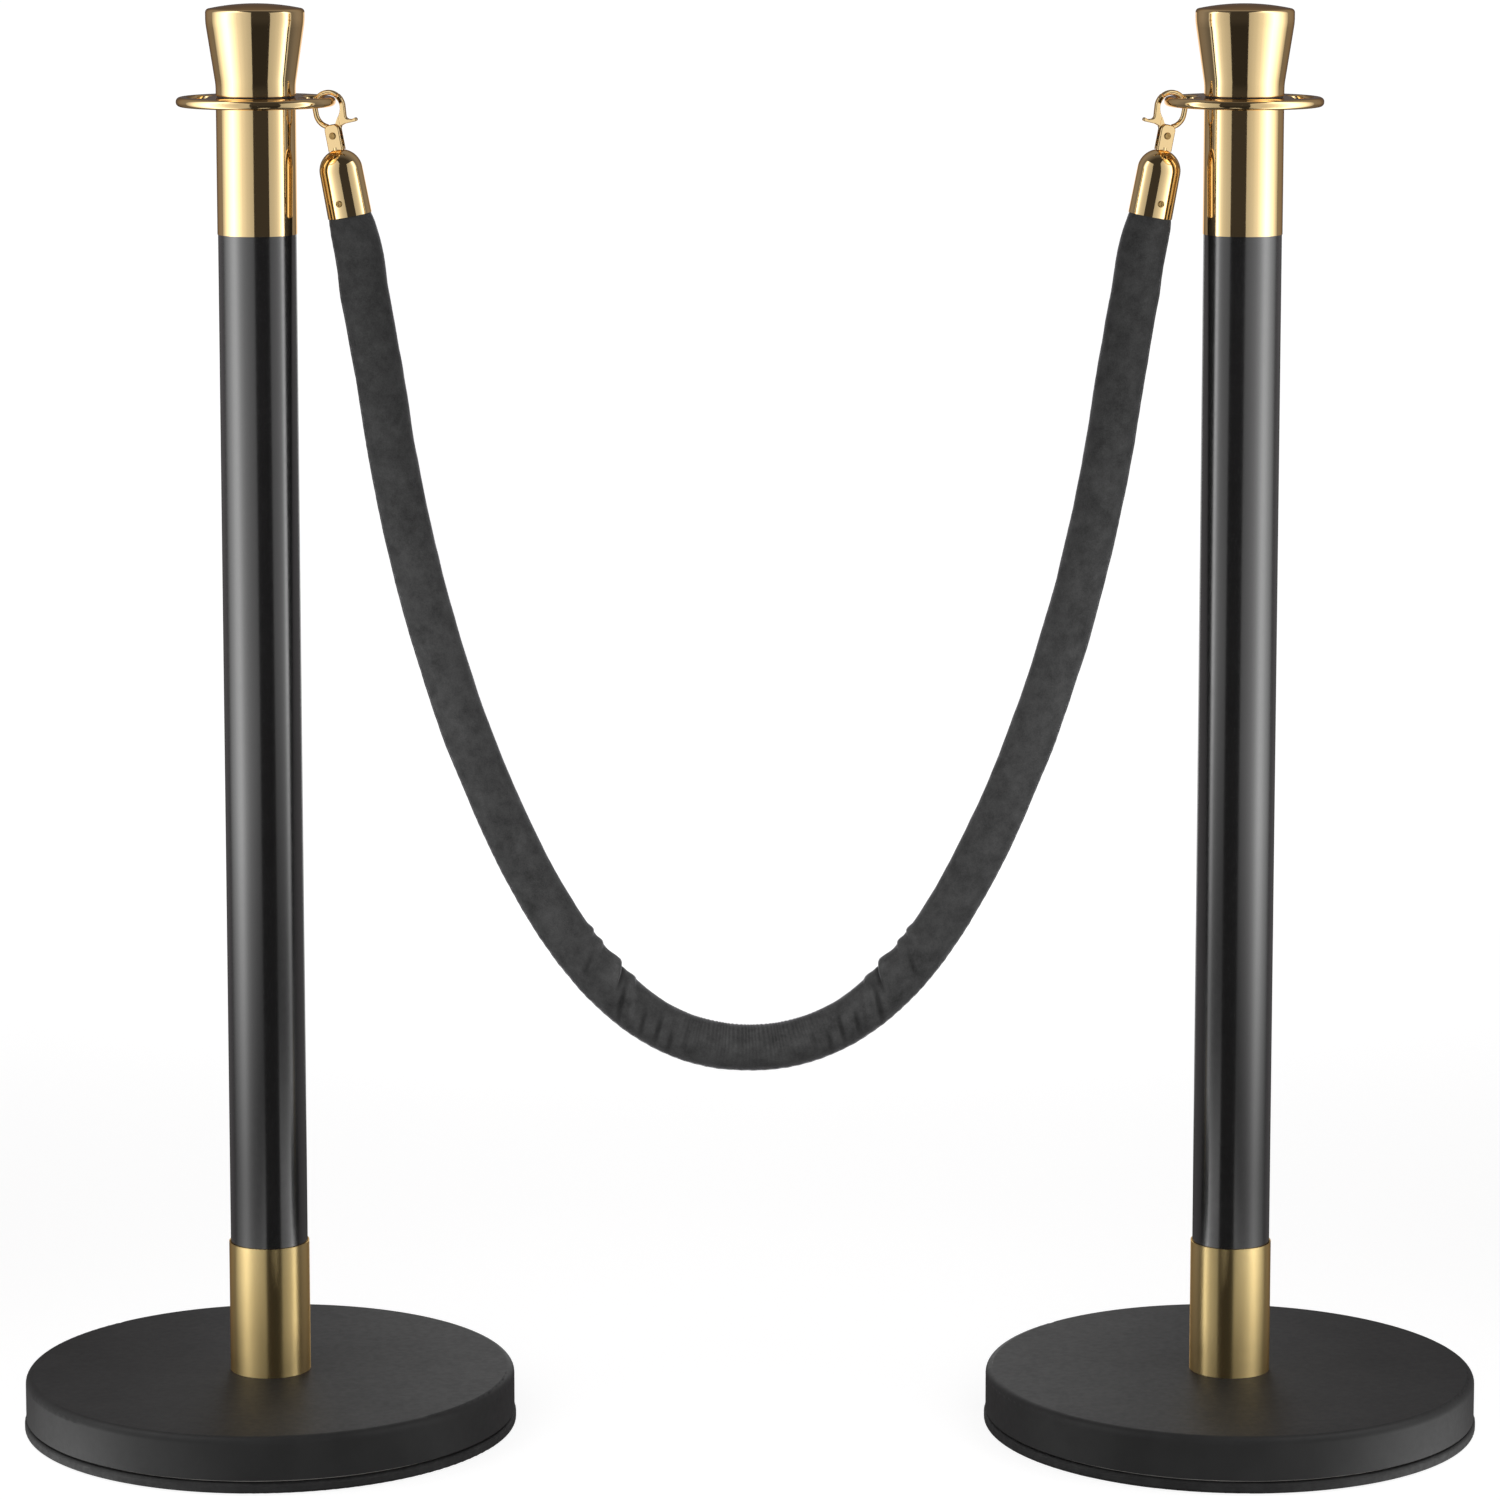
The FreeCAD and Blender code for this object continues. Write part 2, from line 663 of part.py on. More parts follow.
# ---------------------------------------------------------------- placing


def hang(shape, turn=0.0):
    """Take a piece from the cap's own axis to the rope's left end."""
    mouth, following = full_route()[:2]
    along = (mouth - following).normalize()
    placed = shape.copy()
    placed.rotate(Vector(), UP, -turn)
    placed.rotate(Vector(), BACK, math.degrees(math.atan2(along.x, along.z)))
    placed.translate(mouth - along * CAP_MOUTH)
    return placed


def stand(shape):
    placed = shape.copy()
    placed.translate(Vector(-POST_X, 0, 0))
    return placed


def export_pair(name, left):
    """Write the left piece and its mirror image."""
    right = left.mirror(Vector(), Vector(1, 0, 0))
    for side, shape in (("left", left), ("right", right)):
        shape.exportStep(f"parts/{side}_{name}.step")


POST_PIECES = [
    base_cover,
    base_weight,
    foot_ring,
    base_bolt,
    bolt_washer,
    foot_plug,
    post_tube,
    lower_collar,
    upper_sleeve,
    top_plug,
    top_stud,
    rope_ring,
    finial_washer,
    finial,
    finial_insert,
]
CAP_PIECES = [end_cap, end_plug, cap_screws]
HOOK_PIECES = [hook_frame, hook_gate, gate_rivet, gate_spring, swivel_retainer]


def main():
    os.makedirs("parts", exist_ok=True)
    for make in POST_PIECES:
        export_pair(make.__name__, stand(make()))
    for make in CAP_PIECES:
        export_pair(make.__name__, hang(make()))
    for make in HOOK_PIECES:
        export_pair(make.__name__, hang(make(), HOOK_TURN))
    path = rope_path()
    rope_solid(path, CORE_RADIUS).exportStep("parts/rope_core.step")
    velvet = rope_solid(path, ROPE_RADIUS).cut(rope_solid(path, CORE_RADIUS + PILE_GAP))
    velvet.exportStep("parts/velvet_sleeve.step")


if __name__ == "__main__":
    main()
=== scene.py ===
import math

import bpy
import numpy as np
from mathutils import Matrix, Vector, noise


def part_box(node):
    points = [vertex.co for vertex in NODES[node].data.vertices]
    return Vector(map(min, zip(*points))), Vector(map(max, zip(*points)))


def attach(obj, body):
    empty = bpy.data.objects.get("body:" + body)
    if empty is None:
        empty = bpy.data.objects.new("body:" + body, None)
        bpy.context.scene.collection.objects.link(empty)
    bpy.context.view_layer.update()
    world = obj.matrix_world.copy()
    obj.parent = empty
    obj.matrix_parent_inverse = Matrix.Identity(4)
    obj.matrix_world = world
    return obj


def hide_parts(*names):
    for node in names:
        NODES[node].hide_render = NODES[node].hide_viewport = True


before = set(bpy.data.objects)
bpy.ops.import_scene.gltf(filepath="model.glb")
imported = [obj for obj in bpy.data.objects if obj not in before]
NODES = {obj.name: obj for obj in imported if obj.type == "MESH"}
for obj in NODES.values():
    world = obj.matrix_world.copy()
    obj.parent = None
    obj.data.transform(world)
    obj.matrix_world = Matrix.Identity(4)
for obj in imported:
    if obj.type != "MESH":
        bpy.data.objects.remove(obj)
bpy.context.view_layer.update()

SIDES = ("left", "right")

# Rope, in metres
ROPE_RADIUS = 0.01575
MOUTH_RADIUS = 0.0137  # of the velvet where it comes out of the cap
ROPE_AROUND = 84  # points round the rope
FINE_STEP = 0.00045  # along the rope, in the bend and at the caps
WIDE_STEP = 0.0013  # along the rope, up its sides
FINE_BEND = 0.17  # length each side of the middle that has fine steps
FINE_MOUTH = 0.03  # length at each cap that has fine steps
PATH_STEP = 0.004  # along the rope, in the path of points that make_velvet works out and leaves unused
HALF_ROUTE = [
    (-0.2582, 0.8019),
    (-0.2419, 0.7134),
    (-0.2290, 0.6220),
    (-0.2070, 0.5290),
    (-0.1745, 0.4315),
    (-0.1278, 0.3353),
    (-0.0792, 0.2783),
    (-0.0290, 0.2535),
]
ROUTE = HALF_ROUTE + [(-x, z) for x, z in reversed(HALF_ROUTE)]

# Shape of the velvet, in metres. Folds: distance before the middle, half width towards the cap,
# half width towards the middle, height, lean along the rope per radian, facing (radians from the
# inside of the bend), and how far round from there the fold reaches
FOLDS = [
    (0.1420, 0.0060, 0.0026, 0.0010, 0.003, 0.0, 1.3),
    (0.1315, 0.0060, 0.0030, 0.0011, 0.004, 0.0, 1.4),
    (0.1112, 0.0150, 0.0024, 0.0025, 0.006, 0.0, 1.7),
    (0.0975, 0.0070, 0.0030, 0.0009, 0.006, 0.0, 1.5),
    (0.1260, 0.0035, 0.0030, -0.0011, 0.008, 1.5, 0.7),
    (0.1060, 0.0030, 0.0040, -0.0012, 0.008, 0.6, 1.1),
    (0.0925, 0.0034, 0.0030, -0.0017, 0.008, 1.6, 1.2),
    (0.0850, 0.0034, 0.0030, 0.0008, 0.008, 1.4, 1.1),
    (0.0735, 0.0030, 0.0028, -0.0013, 0.006, 1.7, 0.9),
    (0.0625, 0.0030, 0.0026, -0.0014, 0.004, 1.6, 1.1),
    (0.0520, 0.0030, 0.0026, -0.0012, 0.003, 1.9, 0.9),
    (0.0430, 0.0030, 0.0026, -0.0007, 0.002, 1.5, 0.9),
]
GATHER_REACH = 0.080  # each side of the middle
GATHER_HEIGHT = 0.00024
GATHER_WAVE = 0.00042  # length of a ripple over 2 pi
GATHER_WANDER = 0.0031  # length over which the ripples drift, over 2 pi
SEAM_ANGLE = math.radians(158)  # from the inside of the bend
SEAM_HEIGHT = 0.0004
SEAM_LIP = 0.0011  # from the seam's middle to each lip
SEAM_LIP_WIDTH = 0.0006
SEAM_GROOVE_WIDTH = 0.0005
SEAM_PUCKER = 0.0011  # length of a pucker over 2 pi
UNEVENNESS = ((0.045, 0.00045), (0.014, 0.00022), (0.0055, 0.00009))  # size and height of each kind
UNEVEN_FROM = 0.006  # from the cap to where the unevenness is whole
TUCK_LENGTH = 0.009  # over which the velvet opens out of the cap
SHOULDER_AT = 0.026  # from the cap to where the velvet is fullest, on the inside
SHOULDER_HEIGHT = 0.0010
BEND_THINNING = 0.0007  # radius lost in the middle of the bend
BEND_LENGTH = 0.12  # over which the thinning fades away
DEEP_FOLD = 0.0013  # height of relief that gets the whole painted shade of a fold
LIGHTENING_FROM = 0.10  # from the cap to where the painted light on the velvet starts
LIGHTENING_OVER = 0.20

# Thread of the studs, in metres
THREAD_PITCH = 0.0015
THREAD_DEPTH = 0.0008
THREAD_ROWS = 8  # rows of points in one turn of the thread
STUD_AROUND = 32

# Camera
CAMERA_BACK = 3.629
CAMERA_HEIGHT = 1.0793
CAMERA_TILT = 7.771  # degrees below level
IMAGE_SIDE = 1500
FOCAL_PIXELS = 5629.9
AXIS_ROW = 550  # row of the image that the optical axis passes through


# ---------------------------------------------------------------- shared by the sections below


def put(name, data):
    """A new object with this data, in the scene."""
    thing = bpy.data.objects.new(name, data)
    bpy.context.scene.collection.objects.link(thing)
    return thing


def sheet(name, corners):
    """Mesh of one flat face."""
    mesh = bpy.data.meshes.new(name)
    mesh.from_pydata(corners, [], [(0, 1, 2, 3)])
    return mesh


def wall_faces(rows, around):
    """Faces of a tube whose points are numbered row by row, and the numbers as a grid."""
    index = np.arange(rows * around).reshape(rows, around)
    here, above = index[:-1], index[1:]
    faces = np.stack([here, np.roll(here, -1, 1), np.roll(above, -1, 1), above], -1)
    return faces.reshape(-1, 4).tolist(), index


# ---------------------------------------------------------------- camera


def make_camera():
    data = bpy.data.cameras.new("camera")
    data.lens = FOCAL_PIXELS / IMAGE_SIDE * data.sensor_width
    data.shift_y = (AXIS_ROW - IMAGE_SIDE / 2) / IMAGE_SIDE
    camera = put("camera", data)
    camera.location = (0, -CAMERA_BACK, CAMERA_HEIGHT)
    camera.rotation_euler = (math.radians(90 - CAMERA_TILT), 0, 0)
    bpy.context.scene.camera = camera


# ---------------------------------------------------------------- velvet rope


def route_line():
    """Close points along the smooth line that the route's points control."""
    curve = bpy.data.curves.new("route", "CURVE")
    curve.dimensions = "3D"
    curve.resolution_u = 64
    spline = curve.splines.new("NURBS")
    spline.points.add(len(ROUTE) - 1)
    for point, (x, z) in zip(spline.points, ROUTE):
        point.co = (x, 0, z, 1)
    spline.order_u = 3
    spline.use_endpoint_u = True
    holder = put("route", curve)
    bpy.context.view_layer.update()
    mesh = bpy.data.meshes.new_from_object(holder)
    line = np.array([vertex.co for vertex in mesh.vertices])
    bpy.data.objects.remove(holder)
    bpy.data.curves.remove(curve)
    bpy.data.meshes.remove(mesh)
    return line


class Line:
    """A line through close points, read by the distance along it."""

    def __init__(self, points):
        steps = np.linalg.norm(np.diff(points, axis=0), axis=1)
        self.at = np.concatenate([[0], np.cumsum(steps)])
        self.points = points
        self.length = self.at[-1]

    def point(self, distance):
        return np.stack([np.interp(distance, self.at, self.points[:, axis]) for axis in range(3)], -1)

    def tangent(self, distance):
        reach = 0.004
        ahead = self.point(np.minimum(distance + reach, self.length))
        back = self.point(np.maximum(distance - reach, 0))
        step = ahead - back
        return step / np.linalg.norm(step, axis=-1, keepdims=True)


def ring_places(length):
    """Distances of the rings: close together in the gathered bottom, wider apart up the sides."""
    middle = length / 2
    places = [0.0]
    while places[-1] < length:
        here = places[-1]
        in_bend = abs(here - middle) < FINE_BEND
        at_cap = min(here, length - here) < FINE_MOUTH
        places.append(here + (FINE_STEP if in_bend or at_cap else WIDE_STEP))
    places[-1] = length
    return np.array(places)


def half_turn(angle):
    """The same angle between minus and plus half a turn."""
    return np.mod(angle + math.pi, 2 * math.pi) - math.pi


def bump_curve(x):
    """A smooth hump, 1 at 0 and 0 beyond 1."""
    return np.where(np.abs(x) < 1, (1 - x * x) ** 2, 0.0)


def fold_relief(side, away):
    """Height of the folds, by the distance from the middle and the angle from the inside of the bend."""
    relief = np.zeros_like(side)
    for place, before, after, tall, lean, facing, reach in FOLDS:
        along = side - place + lean * (away - facing)
        shape = bump_curve(np.where(along > 0, along / before, along / after))
        relief += tall * bump_curve((away - facing) / reach) * shape
    return relief


def gathers(from_middle, angle):
    """Fine ripples across the bottom of the bend, from -1 to 1, strongest on the inside."""
    zone = bump_curve(from_middle / GATHER_REACH)
    inner = np.clip(1.2 - np.abs(angle) / 2.0, 0, 1)
    wander = 1.9 * np.sin(from_middle / GATHER_WANDER) + 0.8 * np.sin(3 * angle)
    return zone * inner * np.sin(from_middle / GATHER_WAVE + wander)


def seam_relief(from_middle, angle):
    """Height of the sewn seam, two lips with a groove between them, along the outside of the bend."""
    across = half_turn(angle - SEAM_ANGLE) * ROPE_RADIUS
    pucker = 0.75 + 0.25 * np.sin(from_middle / SEAM_PUCKER)
    lips = np.exp(-((np.abs(across) - SEAM_LIP) / SEAM_LIP_WIDTH) ** 2) * pucker
    groove = np.exp(-((across / SEAM_GROOVE_WIDTH) ** 2))
    return SEAM_HEIGHT * (lips - groove)


def soft_noise(points):
    """Uneven surface of a loose cloth sleeve, in metres."""
    out = np.zeros(len(points))
    for size, tall in UNEVENNESS:
        out += [tall * noise.noise(Vector(point / size)) for point in points]
    return out


def plain_radius(from_end, from_middle, angle):
    """Radius of the sleeve without its folds: tucked in at the caps, fuller on the inside just after."""
    opened = 1 - np.exp(-from_end / TUCK_LENGTH)
    radius = MOUTH_RADIUS + (ROPE_RADIUS - MOUTH_RADIUS) * opened
    shoulder = bump_curve((from_end - SHOULDER_AT) / SHOULDER_AT)
    radius += SHOULDER_HEIGHT * shoulder * np.cos(angle)
    return radius - BEND_THINNING * np.exp(-((from_middle / BEND_LENGTH) ** 2))


def velvet_surface(line):
    """Points of the sleeve, ring by ring, and the painted shade and light of the velvet at each."""
    angles = half_turn(np.arange(ROPE_AROUND) * 2 * math.pi / ROPE_AROUND)
    distance, angle = np.meshgrid(ring_places(line.length), angles, indexing="ij")
    centre = line.point(distance)
    front = np.array([0.0, -1.0, 0.0])
    inside = np.cross(front, line.tangent(distance))
    outward = np.cos(angle)[..., None] * inside + np.sin(angle)[..., None] * front
    from_end = np.minimum(distance, line.length - distance)
    from_middle = distance - line.length / 2
    relief = fold_relief(np.abs(from_middle), np.abs(angle))
    ripple = gathers(from_middle, angle)
    rough = soft_noise((centre + outward * ROPE_RADIUS).reshape(-1, 3)).reshape(relief.shape)
    radius = plain_radius(from_end, from_middle, angle) + relief + GATHER_HEIGHT * ripple
    radius += seam_relief(from_middle, angle) + rough * np.clip(from_end / UNEVEN_FROM, 0, 1)
    # Painted light: the velvet's colour grows paler from near the caps towards the bend
    painted_lightening = 0.92 + 0.46 * np.clip((from_end - LIGHTENING_FROM) / LIGHTENING_OVER, 0, 1)
    # Painted shade in the grooves between folds and across the ripples, painted highlight on the crests
    # of the folds
    painted_shading = painted_lightening * (1 + 0.42 * np.clip(relief / DEEP_FOLD, -1, 0.6) + 0.20 * ripple)
    return centre + outward * radius[..., None], painted_shading


def velvet_mesh(points, painted_shading, ends):
    """Closed smooth mesh of the sleeve, with the painted shade and light of the velvet kept as an
    attribute of its points.
    """
    walls, index = wall_faces(*painted_shading.shape)
    first, last = index[0], index[-1]
    lids = [(index.size, b, a) for a, b in zip(first, np.roll(first, -1))]
    lids += [(index.size + 1, a, b) for a, b in zip(last, np.roll(last, -1))]
    mesh = bpy.data.meshes.new("velvet_rope")
    mesh.from_pydata(np.concatenate([points.reshape(-1, 3), ends]).tolist(), [], walls + lids)
    mesh.polygons.foreach_set("use_smooth", [True] * len(mesh.polygons))
    mesh.attributes.new("painted_shading", "FLOAT", "POINT").data.foreach_set("value", [*painted_shading.reshape(-1), 1, 1])
    mesh.update()
    return mesh


def make_velvet():
    line = Line(route_line())
    ends = np.stack([line.point(0.0), line.point(line.length)])
    piece = put("velvet_rope", velvet_mesh(*velvet_surface(line), ends))
    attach(piece, "rope")
    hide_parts("velvet_sleeve", "rope_core")
    path = line.point(np.arange(0, line.length, PATH_STEP))
    path = np.concatenate([path, line.points[-1:]])
    return piece


# ---------------------------------------------------------------- thread


def thread_points(low, high):
    """Points of a thread cut into an upright rod that fills the box from low to high, row by row."""
    middle = (low + high) / 2
    radius = (high[0] - low[0]) / 2
    count = round((high[2] - low[2]) / THREAD_PITCH * THREAD_ROWS)
    heights = np.linspace(low[2], high[2], count + 1)
    turns = np.arange(STUD_AROUND) / STUD_AROUND
    height, turn = np.meshgrid(heights, turns, indexing="ij")
    phase = np.mod((height - low[2]) / THREAD_PITCH - turn, 1)
    cut = THREAD_DEPTH * np.abs(2 * phase - 1)
    from_end = np.minimum(height - low[2], high[2] - height)
    reach = radius - np.maximum(cut, np.clip(THREAD_DEPTH - from_end, 0, None))
    spin = turn * 2 * math.pi
    return np.stack([middle[0] + reach * np.cos(spin), middle[1] + reach * np.sin(spin), height], -1)


def make_stud(side):
    """The stud that the flared head screws onto, with its thread cut."""
    node = f"{side}_top_stud"
    points = thread_points(*(np.array(point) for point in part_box(node)))
    walls, index = wall_faces(*points.shape[:2])
    lids = [index[0][::-1].tolist(), index[-1].tolist()]
    mesh = bpy.data.meshes.new(f"{side}_stud")
    mesh.from_pydata(points.reshape(-1, 3).tolist(), [], walls + lids)
    mesh.update()
    piece = put(f"{side}_threaded_stud", mesh)
    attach(piece, "posts")
    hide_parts(node)
    return piece


# ---------------------------------------------------------------- materials


class Nodes:
    """A node tree under construction, with short ways to add and join nodes."""

    def __init__(self, owner):
        owner.use_nodes = True
        self.tree = owner.node_tree

    def add(self, kind, **settings):
        node = self.tree.nodes.new(kind)
        for name, value in settings.items():
            setattr(node, name, value)
        return node

    def join(self, output, socket):
        self.tree.links.new(output, socket)


class Shader(Nodes):
    """A material of the object, built round its Principled BSDF."""

    def __init__(self, name):
        self.material = bpy.data.materials.new(name)
        super().__init__(self.material)
        self.surface = self.tree.nodes["Principled BSDF"]
        self.place = self.add("ShaderNodeTexCoord").outputs["Object"]

    def set(self, **values):
        for name, value in values.items():
            self.surface.inputs[name.replace("_", " ")].default_value = value

    def stretched(self, scale):
        mapping = self.add("ShaderNodeMapping")
        mapping.inputs["Scale"].default_value = scale
        self.join(self.place, mapping.inputs["Vector"])
        return mapping.outputs["Vector"]

    def noise(self, scale, detail=3.0, stretch=(1, 1, 1), roughness=0.5):
        node = self.add("ShaderNodeTexNoise")
        node.inputs["Scale"].default_value = scale
        node.inputs["Detail"].default_value = detail
        node.inputs["Roughness"].default_value = roughness
        self.join(self.stretched(stretch), node.inputs["Vector"])
        return node.outputs["Fac"]

    def cells(self, scale):
        node = self.add("ShaderNodeTexVoronoi")
        node.inputs["Scale"].default_value = scale
        self.join(self.place, node.inputs["Vector"])
        return node.outputs["Distance"]

    def ramp(self, factor, low, high, start=0.3, end=0.7):
        """Colour or grey from low to high as the factor goes from start to end."""
        node = self.add("ShaderNodeValToRGB")
        for element, place, value in zip(node.color_ramp.elements, (start, end), (low, high)):
            shade = value if isinstance(value, tuple) else (value,) * 3
            element.position = place
            element.color = (*shade, 1)
        self.join(factor, node.inputs["Fac"])
        return node.outputs["Color"]

    def bump(self, height, strength, distance):
        node = self.add("ShaderNodeBump")
        node.inputs["Strength"].default_value = strength
        node.inputs["Distance"].default_value = distance
        self.join(height, node.inputs["Height"])
        if self.surface.inputs["Normal"].is_linked:
            self.join(self.surface.inputs["Normal"].links[0].from_socket, node.inputs["Normal"])
        self.join(node.outputs["Normal"], self.surface.inputs["Normal"])

    def colour(self, output):
        self.join(output, self.surface.inputs["Base Color"])

    def roughness(self, output):
        self.join(output, self.surface.inputs["Roughness"])


def polished_gold():
    s = Shader("polished_gold")
    s.set(Metallic=1.0, Specular_Tint=(0.80, 0.62, 0.48, 1))
    s.colour(s.ramp(s.noise(9), (0.93, 0.68, 0.34), (0.95, 0.72, 0.39)))
    s.roughness(s.ramp(s.noise(160, stretch=(1, 1, 0.06)), 0.045, 0.085))
    s.bump(s.noise(35, detail=1), 0.08, 0.0004)
    return s.material


# Gold of the screws and the gate rivet, painted darker than the other gold: painted shade for the dark
# look of their small domed heads
def rivet_gold_painted_shade():
    s = Shader("rivet_gold_painted_shade")
    s.set(Metallic=1.0)
    s.colour(s.ramp(s.noise(700), (0.30, 0.18, 0.06), (0.46, 0.31, 0.12)))
    s.roughness(s.ramp(s.noise(900), 0.16, 0.26))
    s.bump(s.noise(1100), 0.1, 0.0001)
    return s.material


def satin_gold():
    s = Shader("satin_gold")
    s.set(Metallic=1.0, Specular_Tint=(0.75, 0.58, 0.45, 1))
    s.colour(s.ramp(s.noise(14), (0.97, 0.73, 0.33), (0.99, 0.77, 0.37)))
    s.set(Anisotropic=1.0, Anisotropic_Rotation=0.25)
    tangent = s.add("ShaderNodeTangent", direction_type="RADIAL", axis="Z")
    s.join(tangent.outputs["Tangent"], s.surface.inputs["Tangent"])
    s.roughness(s.ramp(s.noise(700, stretch=(0.05, 0.05, 1)), 0.31, 0.37))
    s.bump(s.noise(1800, stretch=(0.04, 0.04, 1)), 0.05, 0.00005)
    return s.material


def tube_paint():
    s = Shader("black_tube_paint")
    s.set(IOR=1.8, Specular_IOR_Level=0.75)
    s.colour(s.ramp(s.noise(30), 0.0055, 0.0075))
    s.roughness(s.ramp(s.noise(260), 0.15, 0.20))
    s.bump(s.noise(1500, detail=2), 0.08, 0.00012)
    return s.material


def base_paint():
    s = Shader("black_powder_coat")
    s.set(Specular_IOR_Level=0.27)
    s.colour(s.ramp(s.noise(30), 0.018, 0.024))
    s.roughness(s.ramp(s.noise(260), 0.48, 0.54))
    s.bump(s.noise(1300, detail=2), 0.16, 0.00015)
    s.bump(s.noise(180, detail=1), 0.05, 0.0004)
    return s.material


def rubber():
    s = Shader("black_rubber")
    s.colour(s.ramp(s.noise(60), 0.012, 0.02))
    s.roughness(s.ramp(s.noise(300), 0.62, 0.78))
    s.bump(s.noise(800), 0.2, 0.0002)
    return s.material


def velvet():
    """Dark pile with painted shade in the folds and painted light away from the caps, both read from an
    attribute of the points, and paler at its edges.
    """
    s = Shader("black_velvet")
    s.set(Roughness=0.95, Sheen_Weight=1.0, Sheen_Roughness=0.30, Sheen_Tint=(0.75, 0.75, 0.78, 1))
    s.set(Specular_IOR_Level=0.15)
    pile = s.noise(95, detail=6, roughness=0.65)
    fibre = s.noise(1100, detail=2)
    blend = s.add("ShaderNodeMath", operation="MULTIPLY_ADD")
    s.join(fibre, blend.inputs[0])
    blend.inputs[1].default_value = 0.4
    s.join(pile, blend.inputs[2])
    shade = s.add("ShaderNodeVectorMath", operation="SCALE")
    s.join(s.ramp(blend.outputs[0], 0.024, 0.066, 0.42, 1.0), shade.inputs[0])
    # The colour is scaled by the painted shade and light kept on the points of the sleeve
    s.join(s.add("ShaderNodeAttribute", attribute_name="painted_shading").outputs["Fac"], shade.inputs["Scale"])
    s.colour(shade.outputs["Vector"])
    s.bump(pile, 0.35, 0.0008)
    s.bump(fibre, 0.6, 0.0003)
    return s.material


def zinc_steel():
    s = Shader("zinc_steel")
    s.set(Metallic=1.0)
    s.colour(s.ramp(s.noise(90), (0.55, 0.56, 0.58), (0.68, 0.69, 0.70)))
    s.roughness(s.ramp(s.noise(400), 0.28, 0.42))
    s.bump(s.noise(1200), 0.1, 0.0001)
    return s.material


def cement():
    s = Shader("grey_cement")
    s.colour(s.ramp(s.noise(45, detail=6), (0.20, 0.195, 0.185), (0.36, 0.35, 0.33)))
    s.set(Roughness=0.92)
    s.bump(s.cells(160), 0.5, 0.0008)
    s.bump(s.noise(600, detail=4), 0.5, 0.0005)
    return s.material


def plug_wood():
    s = Shader("plug_wood")
    grain = s.noise(260, detail=4, stretch=(1, 1, 0.12))
    s.colour(s.ramp(grain, (0.36, 0.22, 0.11), (0.60, 0.42, 0.24)))
    s.roughness(s.ramp(s.noise(300, stretch=(1, 1, 0.1)), 0.5, 0.7))
    s.bump(s.noise(700, stretch=(1, 1, 0.08)), 0.3, 0.0002)
    return s.material


def nylon():
    s = Shader("dark_nylon")
    s.colour(s.ramp(s.noise(80), (0.012, 0.010, 0.009), (0.022, 0.018, 0.015)))
    s.roughness(s.ramp(s.noise(300), 0.40, 0.55))
    s.bump(s.noise(900), 0.1, 0.0001)
    return s.material


PAINT = {
    polished_gold: [
        "upper_sleeve", "rope_ring", "finial", "end_cap", "hook_frame", "hook_gate",
    ],
    # the screws and the rivet get the gold with painted shade
    rivet_gold_painted_shade: ["cap_screws", "gate_rivet"],
    satin_gold: ["lower_collar"],
    tube_paint: ["post_tube"],
    base_paint: ["base_cover"],
    rubber: ["foot_ring"],
    zinc_steel: [
        "base_bolt", "bolt_washer", "foot_plug", "top_plug", "finial_insert",
        "gate_spring", "swivel_retainer",
    ],
    cement: ["base_weight"],
    plug_wood: ["end_plug"],
    nylon: ["finial_washer"],
}


def paint_nodes():
    """Give every CAD node of both sides its material, and each stud the steel of its neighbours."""
    for make, names in PAINT.items():
        material = make()
        for name in names:
            for side in SIDES:
                slots = NODES[f"{side}_{name}"].data.materials
                slots.clear()
                slots.append(material)
        if make is zinc_steel:
            for stud in map(make_stud, SIDES):
                stud.data.materials.append(material)


# ---------------------------------------------------------------- studio

FLOOR_HALF = 40.0
FLOOR_LEVEL = -0.0005
# From grey at the object to white all round: distances in metres, and the glow there
FLOOR_FADE = (("From Min", 0.5), ("From Max", 2.5), ("To Min", 0.86), ("To Max", 1.0))


def make_floor():
    """White floor that fades into the white surround, with a faint shadow by the bases."""
    half = FLOOR_HALF
    mesh = sheet("floor", [(-half, -half, 0), (half, -half, 0), (half, half, 0), (-half, half, 0)])
    floor = put("floor", mesh)
    floor.location.z = FLOOR_LEVEL
    s = Shader("pale_floor")
    s.set(Base_Color=(0.3, 0.3, 0.3, 1), Emission_Color=(1, 1, 1, 1))
    s.set(Roughness=0.9, Specular_IOR_Level=0.1)
    length = s.add("ShaderNodeVectorMath", operation="LENGTH")
    s.join(s.place, length.inputs[0])
    fade = s.add("ShaderNodeMapRange", interpolation_type="SMOOTHSTEP")
    s.join(length.outputs["Value"], fade.inputs["Value"])
    for name, value in FLOOR_FADE:
        fade.inputs[name].default_value = value
    s.join(fade.outputs["Result"], s.surface.inputs["Emission Strength"])
    mesh.materials.append(s.material)
    floor.visible_glossy = False
    floor.visible_diffuse = False
    floor.visible_shadow = False


class Glow(Nodes):
    """The node tree of a light or the world, built from nothing."""

    def __init__(self, owner):
        super().__init__(owner)
        self.tree.nodes.clear()

    def split(self, vector):
        node = self.add("ShaderNodeSeparateXYZ")
        self.join(vector, node.inputs[0])
        return node.outputs

    def curve(self, factor, stops):
        """A grey that follows the stops, (place from 0 to 1, value from 0 to 1)."""
        node = self.add("ShaderNodeValToRGB")
        elements = node.color_ramp.elements
        while len(elements) < len(stops):
            elements.new(0.5)
        for element, (place, value) in zip(elements, stops):
            element.position = place
            element.color = (value, value, value, 1)
        self.join(factor, node.inputs["Fac"])
        return node.outputs["Color"]

    def times(self, a, b):
        node = self.add("ShaderNodeMath", operation="MULTIPLY")
        self.join(a, node.inputs[0])
        self.join(b, node.inputs[1])
        return node.outputs[0]


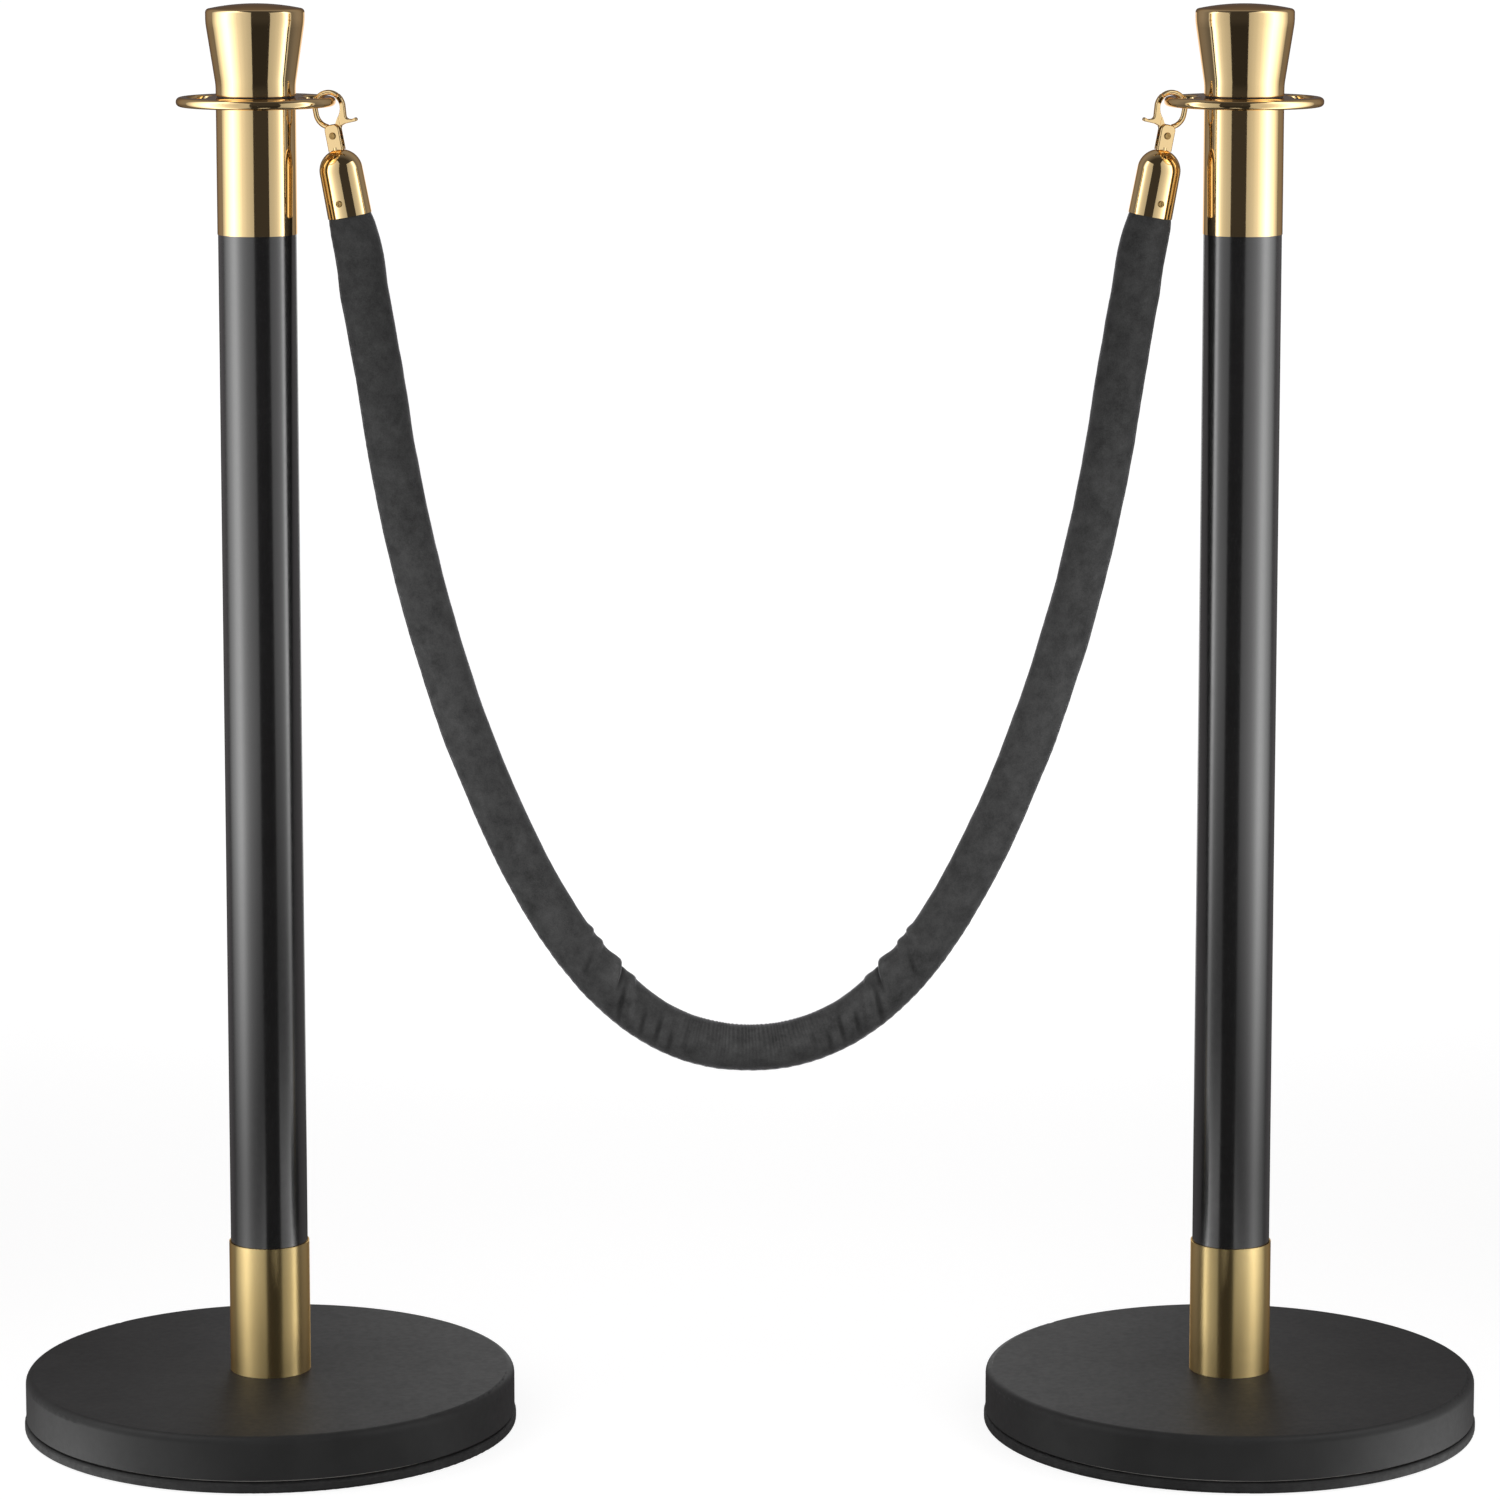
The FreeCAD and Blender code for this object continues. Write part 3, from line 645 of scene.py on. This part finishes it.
def softbox(name, start, end, low, high, brightness, across, upward):
    """Upright glowing sheet from start to end in plan, shaded along its width and its height."""
    mesh = sheet(name, [(*start, low), (*end, low), (*end, high), (*start, high)])
    uv = mesh.uv_layers.new(name="along")
    for corner, place in zip(uv.data, ((0, 0), (1, 0), (1, 1), (0, 1))):
        corner.uv = place
    panel = put(name, mesh)
    material = bpy.data.materials.new(name)
    tree = Glow(material)
    place = tree.split(tree.add("ShaderNodeUVMap").outputs["UV"])
    shade = tree.times(tree.curve(place["X"], across), tree.curve(place["Y"], upward))
    glow = tree.add("ShaderNodeEmission")
    glow.inputs["Strength"].default_value = brightness
    tree.join(shade, glow.inputs["Color"])
    tree.join(glow.outputs[0], tree.add("ShaderNodeOutputMaterial").inputs["Surface"])
    mesh.materials.append(material)
    panel.visible_camera = False
    panel.visible_shadow = False


# Shading of the softboxes and the surround: (place from 0 to 1, brightness from 0 to 1).
# Across runs from the start of a softbox to its end, upward from its foot to its top, and the
# surround's two run from front to back and from straight down to straight up.
FRONT_ACROSS = [
    (0.0, 0.17), (0.25, 0.20), (0.42, 0.24), (0.55, 0.33), (0.63, 0.50), (0.725, 0.95), (0.78, 0.84),
    (0.83, 0.60), (0.93, 0.30), (1.0, 0.15),
]
FRONT_UPWARD = [
    (0.0, 0.2), (0.10, 0.28), (0.135, 1.0), (0.17, 1.0), (0.195, 0.55), (0.22, 0.28), (0.25, 0.26),
    (0.28, 0.36), (0.38, 0.74),
]
WORLD_BACKWARD = [(0.35, 0.045), (0.75, 0.28), (0.88, 0.28), (0.98, 0.13)]
WORLD_UPWARD = [(0.36, 0.6), (0.475, 1.0)]
BACK_ACROSS = [(0.0, 0.2), (0.25, 1.0), (0.75, 1.0), (1.0, 0.2)]
BACK_UPWARD = [(0.0, 0.3), (0.3, 1.0), (0.9, 1.0), (1.0, 0.3)]

# Softboxes: name, start and end in plan, foot, top, brightness, shading across and upward
SOFTBOXES = [
    ("left_softbox", (-0.376, -0.827), (-0.671, 0.121), -0.4, 1.6, 3.9, FRONT_ACROSS, FRONT_UPWARD),
    ("right_softbox", (0.376, -0.827), (0.671, 0.121), -0.4, 1.6, 3.9, FRONT_ACROSS, FRONT_UPWARD),
    ("low_softbox", (-0.2, -0.8), (0.2, -0.8), -0.7, -0.27, 1.5, BACK_ACROSS, BACK_UPWARD),
    ("back_softbox", (-0.5, 1.6), (0.5, 1.6), -0.2, 0.95, 1.3, BACK_ACROSS, BACK_UPWARD),
]

FILL_SIZE = (2.4, 1.4)
FILL_POWER = 42
FILL_PLACE = (0, -3.0, 0.55)
SURROUND_COLOUR = (1.0, 0.94, 0.96, 1)


def make_fill():
    """Soft light from the front that only matt surfaces show."""
    data = bpy.data.lights.new("front_fill", "AREA")
    data.shape = "RECTANGLE"
    data.size, data.size_y = FILL_SIZE
    data.energy = FILL_POWER
    fill = put("front_fill", data)
    fill.location = FILL_PLACE
    fill.rotation_euler = (math.radians(90), 0, 0)
    fill.visible_glossy = False
    fill.visible_camera = False


def make_world():
    """White for the camera. What the object reflects is nearly black in front and grey behind."""
    world = bpy.data.worlds.new("studio")
    bpy.context.scene.world = world
    tree = Glow(world)
    direction = tree.split(tree.add("ShaderNodeTexCoord").outputs["Generated"])
    surround = tree.add("ShaderNodeBackground")
    backdrop = tree.add("ShaderNodeBackground")
    rays = tree.add("ShaderNodeLightPath")
    mix = tree.add("ShaderNodeMixShader")
    shares = []
    for axis, stops in (("Y", WORLD_BACKWARD), ("Z", WORLD_UPWARD)):
        place = tree.add("ShaderNodeMapRange")
        tree.join(direction[axis], place.inputs["Value"])
        place.inputs["From Min"].default_value = -1
        shares.append(tree.curve(place.outputs["Result"], stops))
    tree.join(tree.times(*shares), surround.inputs["Strength"])
    surround.inputs["Color"].default_value = SURROUND_COLOUR
    backdrop.inputs["Color"].default_value = (1, 1, 1, 1)
    tree.join(rays.outputs["Is Camera Ray"], mix.inputs["Fac"])
    tree.join(surround.outputs[0], mix.inputs[1])
    tree.join(backdrop.outputs[0], mix.inputs[2])
    tree.join(mix.outputs[0], tree.add("ShaderNodeOutputWorld").inputs["Surface"])


make_camera()
rope = make_velvet()
rope.data.materials.append(velvet())
paint_nodes()
make_floor()
for settings in SOFTBOXES:
    softbox(*settings)
make_fill()
make_world()
bpy.context.scene.view_settings.view_transform = "Standard"
